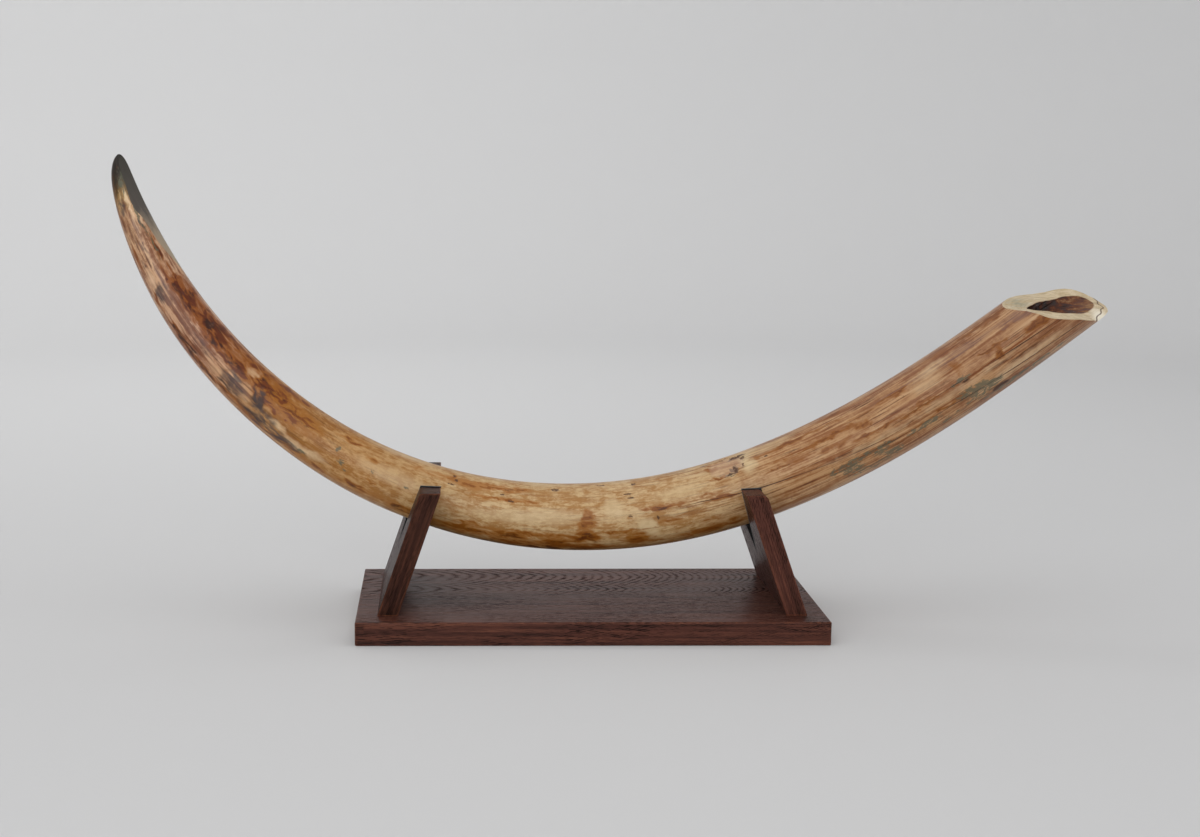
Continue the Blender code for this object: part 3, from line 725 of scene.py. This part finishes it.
for shade, name, grain, raggedness, low, high, strength in (
        (bleached_and_highlight, "cream_and_highlight", "blotches", 2.6, 0.12, 0.90, 0.82),
        ("7a5a50", "lilac", "streaks", 4.0, 0.25, 0.75, 0.72),
        (amber, "rust", "pools", 3.0, 0.14, 0.54, 0.92),
        (burnt, "rust", "pools", 6.0, 0.54, 0.98, 0.92),
        ("451c08", "rust", "blotches", 6.0, 0.95, 1.50, 0.75),
        ("34180b", "umber", "pools", 5.0, 0.22, 0.80, 0.88),
        ("5c5d4a", "green", "mottle", 6.0, 0.22, 0.58, 0.80),
        ("443c3d", "smoke", "pools", 4.0, 0.20, 0.95, 0.76)):
    chop = add_node(ivory, "Math", (texture[grain], raggedness, 1.0 - raggedness / 2),
                    operation="MULTIPLY_ADD")
    amount = add_node(ivory, "Math", (stained[name], chop), operation="MULTIPLY")
    amount = add_node(ivory, "MapRange", (amount, low, high, 0.0, strength))
    colour = add_node(ivory, "Mix", {
        0: amount.outputs[0], 6: colour,
        7: hex_colour(shade) if isinstance(shade, str) else shade}, data_type="RGBA").outputs[2]

# The flat worn at the tip is near black with a painted grey sheen, the chip shows paler ivory,
# cracks are dark, and the pits and the painted shade line along the chip's edge are darker.
flat, pits_and_chip_shade, chip = add_node(ivory, "SeparateXYZ", (
    add_node(ivory, "Attribute", attribute_name="wear_and_shade").outputs["Vector"],)).outputs
# The grey of the worn flat is a painted sheen; the ivory under it is near black at the tip.
worn_and_sheen = add_node(ivory, "ValToRGB", (run,), stops=(
    (0.0, "3a362e"), (0.05, "534c46"), (0.075, "9a8a75"), (0.12, "b09c80")))
edge = add_node(ivory, "Math", (texture["blotches"], 0.4, flat), operation="MULTIPLY_ADD")
colour = add_node(ivory, "Mix", {
    0: add_node(ivory, "MapRange", (edge, 0.62, 0.80)).outputs[0], 6: colour, 7: worn_and_sheen},
    data_type="RGBA").outputs[2]
CRACK_FULL, CRACK_GONE = 0.95, 1.50     # mm to the side, and the streaks add about 0.8
opened = None
for side in add_node(ivory, "SeparateXYZ", (
        add_node(ivory, "Attribute", attribute_name="cracks").outputs["Vector"],)).outputs:
    aside = add_node(ivory, "Math", (side,), operation="ABSOLUTE")
    aside = add_node(ivory, "Math", (texture["streaks"], 1.6, aside), operation="MULTIPLY_ADD")
    line = add_node(ivory, "MapRange", (aside, CRACK_FULL, CRACK_GONE, 1.0, 0.0))
    opened = add_node(ivory, "Math", (opened, line), operation="MAXIMUM") if opened else line
chop = add_node(ivory, "Math", (texture["specks"], 3.0, -0.5), operation="MULTIPLY_ADD")
# The pits and the painted shade line along the chip's edge are darkened here.
dark_pits_and_chip_shade = add_node(ivory, "Math", (pits_and_chip_shade, chop), operation="MULTIPLY")
dark_pits_and_chip_shade = add_node(ivory, "MapRange", (dark_pits_and_chip_shade, 0.30, 0.60))
for shade, mask, strength in (("c9a78c", chip, 0.35), ("3d1d0e", opened, 0.9),
                              ("503220", dark_pits_and_chip_shade, 0.85)):
    amount = add_node(ivory, "Math", (mask, strength), operation="MULTIPLY")
    colour = add_node(ivory, "Mix", {0: amount.outputs[0], 6: colour, 7: hex_colour(shade)},
                      data_type="RGBA").outputs[2]
sunk = add_node(ivory, "Math", (opened, dark_pits_and_chip_shade), operation="MAXIMUM")
relief = add_node(ivory, "Math", (texture["hairs"], 0.4), operation="MULTIPLY")
relief = add_node(ivory, "Math", (relief, sunk), operation="SUBTRACT")
finish(ivory, Base_Color=colour, IOR=1.54, Specular_IOR_Level=0.28,
       Roughness=add_node(ivory, "MapRange", (texture["streaks"], 0.3, 0.7, 0.28, 0.42)),
       Normal=add_node(ivory, "Bump", {"Height": relief, "Strength": 0.7,
                                       "Distance": 0.35 * MM}))

# The rim is bare ivory as the saw left it: dull pale cream with faint growth lines, dirty at
# its inner end, and split and chipped white at its outer end, where the white is also a painted
# highlight. Its growth layers are too thin to show, so half a dozen lines from rim to mouth stand
# for them.
GROWTH_PHASE = 38.0             # of the wave, in radians from rim to mouth
sawn = bpy.data.materials.new("sawn_bare_ivory")
sawn.use_nodes = True
grain = marks(sawn, add_node(sawn, "TexCoord").outputs["Object"], (14, 5, 5), 5.0, 0.65)
fine = marks(sawn, add_node(sawn, "TexCoord").outputs["Object"], (5, 1.6, 1.6), 3.0, 0.6)
inner = add_node(sawn, "Attribute", attribute_name="inward").outputs["Fac"]
layers = add_node(sawn, "Math", (grain, 0.22, inner), operation="MULTIPLY_ADD")
layers = add_node(sawn, "Math", (layers, GROWTH_PHASE), operation="MULTIPLY")
layers = add_node(sawn, "Math", (layers,), operation="SINE")
inner_dirt, bare_end_and_highlight, split = add_node(sawn, "SeparateXYZ", (
    add_node(sawn, "Attribute", attribute_name="sawn_face").outputs["Vector"],)).outputs
inner_dirt = add_node(sawn, "Math", (inner_dirt, add_node(sawn, "MapRange", (
    grain, 0.40, 0.56))), operation="MULTIPLY")
split = add_node(sawn, "Math", (split,), operation="ABSOLUTE")
split = add_node(sawn, "Math", (fine, 0.9, split), operation="MULTIPLY_ADD")
colour = add_node(sawn, "ValToRGB", (grain,), stops=(
    (0.36, "b8a37f"), (0.5, "d0bc98"), (0.62, "decdae"))).outputs[0]
for shade, mask, low, high, strength in (
        ("ab8a60", layers, 0.1, 1.0, 0.30), ("a98c68", fine, 0.56, 0.66, 0.45),
        ("7f806c", inner_dirt, 0.0, 1.0, 0.75), ("f2ead8", bare_end_and_highlight, 0.1, 0.8, 0.85),
        ("8a5c34", inner, 0.92, 1.0, 0.60), ("4a2c18", split, 1.30, 0.85, 0.85)):
    amount = add_node(sawn, "MapRange", (mask, low, high, 0.0, strength))
    colour = add_node(sawn, "Mix", {0: amount.outputs[0], 6: colour, 7: hex_colour(shade)},
                      data_type="RGBA").outputs[2]
finish(sawn, Base_Color=colour, IOR=1.54, Roughness=0.5, Specular_IOR_Level=0.35,
       Normal=add_node(sawn, "Bump", {"Height": grain, "Strength": 0.4, "Distance": 0.3 * MM}))

# The wall of the cavity was never worked. It is rough and stained dark brown, and old residue on
# it is glossy in places. It is painted darker deeper in, as shade in the recess, and paler from
# PALE_FROM to PALE_TO along the board.
PALE_FROM, PALE_TO = 0.50, 0.56
pulp = bpy.data.materials.new("stained_cavity_wall")
pulp.use_nodes = True
place = add_node(pulp, "TexCoord").outputs["Object"]
grain = marks(pulp, place, (12, 6, 6), 5.0, 0.65)
# Darker deeper in the cavity: painted shade in the recess.
recess_shade = add_node(pulp, "MapRange", (add_node(pulp, "SeparateXYZ", (place,)).outputs["X"],
                                         PALE_FROM, PALE_TO, -0.10, 0.19))
tone = add_node(pulp, "Math", (grain, recess_shade), operation="ADD")
finish(pulp, IOR=1.54, Specular_IOR_Level=0.25,
       Base_Color=add_node(pulp, "ValToRGB", (tone,), stops=(
           (0.36, "241009"), (0.5, "4a2414"), (0.60, "6a3c22"), (0.72, "8f6a48"))),
       Roughness=add_node(pulp, "MapRange", (grain, 0.42, 0.56, 0.30, 0.7)),
       Normal=add_node(pulp, "Bump", {"Height": grain, "Strength": 0.8, "Distance": 1.2 * MM}))
for material in (ivory, sawn, pulp):
    tusk.data.materials.append(material)

# The seam along the skin and the poles at the tip and in the cavity are closed.
bpy.ops.object.mode_set(mode="EDIT")
bpy.ops.mesh.select_all(action="SELECT")
bpy.ops.mesh.remove_doubles(threshold=0.01 * MM)
bpy.ops.mesh.normals_make_consistent(inside=False)
bpy.ops.object.mode_set(mode="OBJECT")
bpy.ops.object.shade_smooth_by_angle(angle=radians(35))
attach(tusk, "root")
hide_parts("tusk")


# ---- Studio ----
# A round sweep of pale matt paper under soft boxes: a flat floor that curves up into a wall
# all round.
FLOOR_RADIUS, SWEEP_RADIUS, SWEEP_STEPS, WALL_HEIGHT = 2.7, 1.0, 8, 1.6
bpy.ops.object.select_all(action="DESELECT")
bpy.ops.mesh.primitive_circle_add(vertices=96, radius=FLOOR_RADIUS, fill_type="NGON")
sweep = bpy.context.object
sweep.name = "paper_sweep"
bpy.ops.object.mode_set(mode="EDIT")
bpy.ops.mesh.select_all(action="SELECT")
bpy.ops.mesh.inset(thickness=FLOOR_RADIUS - 0.4)
bpy.ops.mesh.select_all(action="DESELECT")
bpy.ops.mesh.select_mode(type="EDGE")
bpy.ops.object.mode_set(mode="OBJECT")
for edge in sweep.data.edges:
    edge.select = all(sweep.data.vertices[v].co.length > FLOOR_RADIUS - 0.1
                      for v in edge.vertices)
bpy.ops.object.mode_set(mode="EDIT")
for step in range(SWEEP_STEPS):
    start, end = (k * pi / 2 / SWEEP_STEPS for k in (step, step + 1))
    wide, wider = (FLOOR_RADIUS + SWEEP_RADIUS * sin(angle) for angle in (start, end))
    bpy.ops.mesh.extrude_region_move(TRANSFORM_OT_translate={
        "value": (0.0, 0.0, SWEEP_RADIUS * (cos(start) - cos(end)))})
    bpy.ops.transform.resize(value=(wider / wide, wider / wide, 1.0),
                             center_override=(0.0, 0.0, 0.0))
bpy.ops.mesh.extrude_region_move(TRANSFORM_OT_translate={"value": (0.0, 0.0, WALL_HEIGHT)})
bpy.ops.object.mode_set(mode="OBJECT")
bpy.ops.object.shade_smooth()
paper = bpy.data.materials.new("pale_backdrop_paper")
paper.use_nodes = True
finish(paper, Base_Color=hex_colour("dadada"), Roughness=0.9)
sweep.data.materials.append(paper)

world = bpy.data.worlds.new("studio")
world.use_nodes = True
glow = world.node_tree.nodes["Background"]
glow.inputs["Color"].default_value = hex_colour("e9e9ea")
glow.inputs["Strength"].default_value = 0.67
bpy.context.scene.world = world

# Each soft box, with its place, what it is aimed at, its width in metres and its power in watts.
for name, place, aim, size, power in (
        ("top_box", (-0.3, -0.5, 2.3), (0.0, 0.0, 0.2), 2.0, 7.5),
        ("front_box", (-0.6, -2.9, 1.0), (0.0, 0.0, 0.25), 2.4, 35.0),
        ("left_box", (-2.2, -1.6, 1.7), (0.0, 0.0, 0.3), 1.6, 5.5),
        ("right_box", (2.3, -0.6, 1.4), (0.0, 0.0, 0.3), 1.4, 4.5),
        ("backdrop_box", (-0.9, 1.4, 2.65), (-0.9, 3.7, 0.9), 2.0, 27.0)):
    lamp = bpy.data.lights.new(name, "AREA")
    lamp.size = size
    lamp.energy = power
    box = bpy.data.objects.new(name, lamp)
    box.location = place
    box.rotation_euler = (Vector(aim) - Vector(place)).to_track_quat("-Z", "Y").to_euler()
    bpy.context.scene.collection.objects.link(box)
bpy.context.scene.view_settings.view_transform = "Standard"
